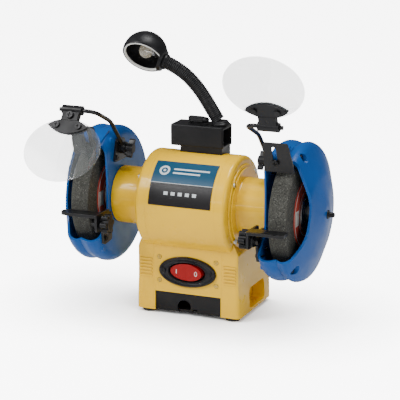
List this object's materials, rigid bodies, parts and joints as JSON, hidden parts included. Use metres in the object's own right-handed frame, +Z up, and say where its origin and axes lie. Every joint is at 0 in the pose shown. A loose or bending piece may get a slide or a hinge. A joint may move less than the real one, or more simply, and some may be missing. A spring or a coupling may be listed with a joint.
{
  "type": "bench grinder",
  "caption": "Bench grinder with guarded abrasive wheels, tool rests, tilting eye shields, a rocker switch and a flexible work light.",
  "frame": {"origin": "on the bench plane that the rubber feet stand on, straight below the middle of the shaft", "axes": "+X along the shaft to the user's right, -Y towards the user, +Z up"},
  "size_m": [0.38, 0.25, 0.3748],
  "materials": {
    "yellow_shell": "smooth gloss",
    "blue_guard": "smooth gloss",
    "black_plastic": "fine texture",
    "dark_bezel": "fine texture",
    "red_rocker": "smooth gloss",
    "rubber": "matt",
    "yellow_screw": "worn",
    "steel": "turned",
    "zinc": "zinc plated",
    "black_screw": "black oxide",
    "laminations": "laminated",
    "copper": "enamelled",
    "aluminium": "cast",
    "capacitor_can": "drawn",
    "plate_print": "printed",
    "abrasive": "coarse grit",
    "label_paper": "matt",
    "black_steel": "satin",
    "clear_pane": "clear",
    "neck_rubber": "ribbed",
    "rim_white": "smooth",
    "bulb_glass": "clear"
  },
  "bodies": {
    "housing": {"base_plate": "black_plastic", "bearings": "steel", "bezel_screws": "black_screw", "bracket_screws": "black_screw", "cable_gland": "black_plastic", "capacitor": "capacitor_can", "end_bell_screws": "zinc", "end_bells": "yellow_shell", "foot_screws": "zinc", "front_screws": "yellow_screw", "guard_brackets": "black_steel", "guard_cover_left": "blue_guard", "guard_cover_right": "blue_guard", "guard_inner_left": "blue_guard", "guard_inner_right": "blue_guard", "guard_screws": "black_screw", "hub_caps": "black_plastic", "lamp_box": "black_plastic", "motor_housing": "yellow_shell", "nameplate": "plate_print", "rubber_feet": "rubber", "spark_brackets": "blue_guard", "spark_screws": "black_screw", "stator_core": "laminations", "stator_windings": "copper", "switch_bezel": "dark_bezel", "switch_body": "black_plastic"},
    "rotor": {"shaft": "steel", "rotor_core": "aluminium", "wheel_left": "abrasive", "wheel_right": "abrasive", "wheel_labels": "label_paper", "wheel_flanges": "zinc", "wheel_nuts": "zinc"},
    "rocker": {"switch_rocker": "red_rocker"},
    "lamp_wheel": {"lamp_switch_wheel": "black_plastic"},
    "neck_base": {"neck_base": "neck_rubber"},
    "neck_1": {"neck_length_1": "neck_rubber"},
    "neck_2": {"neck_length_2": "neck_rubber"},
    "neck_3": {"neck_length_3": "neck_rubber"},
    "lamp_head": {"lamp_shade": "black_plastic", "lamp_rim": "rim_white", "bulb_holder": "black_plastic", "bulb": "bulb_glass"},
    "rest_right": {"tool_rest_right": "black_steel"},
    "rest_knob_right": {"rest_knob_right": "black_plastic"},
    "spark_guard_right": {"spark_guard_right": "black_steel"},
    "arm_right": {"shield_arm_right": "black_steel"},
    "arm_knob_right": {"arm_knob_right": "black_plastic"},
    "shield_right": {"eye_shield_right": "clear_pane", "shield_holder_right": "black_plastic", "shield_screws_right": "black_screw"},
    "rest_left": {"tool_rest_left": "black_steel"},
    "rest_knob_left": {"rest_knob_left": "black_plastic"},
    "spark_guard_left": {"spark_guard_left": "black_steel"},
    "arm_left": {"shield_arm_left": "black_steel"},
    "arm_knob_left": {"arm_knob_left": "black_plastic"},
    "shield_left": {"eye_shield_left": "clear_pane", "shield_holder_left": "black_plastic", "shield_screws_left": "black_screw"}
  },
  "joints": [
    {"name": "rotor_spin", "type": "hinge", "parent": "housing", "child": "rotor", "pos_m": [0, 0, 0.15], "axis": [1, 0, 0], "continuous": true},
    {"name": "rocker_switch", "type": "hinge", "parent": "housing", "child": "rocker", "pos_m": [0, -0.033, 0.062], "axis": [0, 0, 1], "range_deg": [0, 12]},
    {"name": "lamp_switch", "type": "hinge", "parent": "housing", "child": "lamp_wheel", "pos_m": [0, 0.008, 0.259], "axis": [1, 0, 0], "range_deg": [0, 120]},
    {"name": "lamp_swivel", "type": "hinge", "parent": "housing", "child": "neck_base", "pos_m": [0.027, 0.012, 0.253], "axis": [0, 0, 1], "range_deg": [-60, 60]},
    {"name": "neck_bend_1", "type": "hinge", "parent": "neck_base", "child": "neck_1", "pos_m": [0.01414, 0.01006, 0.275], "axis": [-0.149, 0.9888, 0], "range_deg": [-12, 12]},
    {"name": "neck_bend_2", "type": "hinge", "parent": "neck_1", "child": "neck_2", "pos_m": [-0.00069, 0.00783, 0.2985], "axis": [-0.149, 0.9888, 0], "range_deg": [-12, 12]},
    {"name": "neck_bend_3", "type": "hinge", "parent": "neck_2", "child": "neck_3", "pos_m": [-0.01849, 0.00515, 0.318], "axis": [-0.149, 0.9888, 0], "range_deg": [-12, 12]},
    {"name": "neck_bend_4", "type": "hinge", "parent": "neck_3", "child": "lamp_head", "pos_m": [-0.03925, 0.00202, 0.331], "axis": [-0.149, 0.9888, 0], "range_deg": [-12, 12]},
    {"name": "tool_rest_slide_right", "type": "slide", "parent": "housing", "child": "rest_right", "axis": [0, -1, 0], "range_m": [0, 0.016]},
    {"name": "rest_knob_turn_right", "type": "hinge", "parent": "housing", "child": "rest_knob_right", "pos_m": [0.11, -0.08, 0.129], "axis": [1, 0, 0], "range_deg": [-180, 180]},
    {"name": "spark_guard_slide_right", "type": "slide", "parent": "housing", "child": "spark_guard_right", "axis": [0, 0.3827, -0.9239], "range_m": [0, 0.008]},
    {"name": "arm_lift_right", "type": "hinge", "parent": "housing", "child": "arm_right", "pos_m": [0.1035, -0.01, 0.216], "axis": [1, 0, 0], "range_deg": [-35, 6]},
    {"name": "arm_knob_turn_right", "type": "hinge", "parent": "housing", "child": "arm_knob_right", "pos_m": [0.094, -0.01, 0.216], "axis": [1, 0, 0], "range_deg": [-180, 180]},
    {"name": "shield_tilt_right", "type": "hinge", "parent": "arm_right", "child": "shield_right", "pos_m": [0.1345, -0.097, 0.281], "axis": [1, 0, 0], "range_deg": [-20, 130]},
    {"name": "tool_rest_slide_left", "type": "slide", "parent": "housing", "child": "rest_left", "axis": [0, -1, 0], "range_m": [0, 0.016]},
    {"name": "rest_knob_turn_left", "type": "hinge", "parent": "housing", "child": "rest_knob_left", "pos_m": [-0.11, -0.08, 0.129], "axis": [1, 0, 0], "range_deg": [-180, 180]},
    {"name": "spark_guard_slide_left", "type": "slide", "parent": "housing", "child": "spark_guard_left", "axis": [0, 0.3827, -0.9239], "range_m": [0, 0.008]},
    {"name": "arm_lift_left", "type": "hinge", "parent": "housing", "child": "arm_left", "pos_m": [-0.1035, -0.01, 0.216], "axis": [1, 0, 0], "range_deg": [-35, 6]},
    {"name": "arm_knob_turn_left", "type": "hinge", "parent": "housing", "child": "arm_knob_left", "pos_m": [-0.094, -0.01, 0.216], "axis": [1, 0, 0], "range_deg": [-180, 180]},
    {"name": "shield_tilt_left", "type": "hinge", "parent": "arm_left", "child": "shield_left", "pos_m": [-0.1345, -0.097, 0.281], "axis": [1, 0, 0], "range_deg": [-125, 10]}
  ],
  "couplings": [
    {"joint": "neck_bend_2", "follows": "neck_bend_1", "ratio": 1},
    {"joint": "neck_bend_3", "follows": "neck_bend_1", "ratio": 1},
    {"joint": "neck_bend_4", "follows": "neck_bend_1", "ratio": 1}
  ]
}
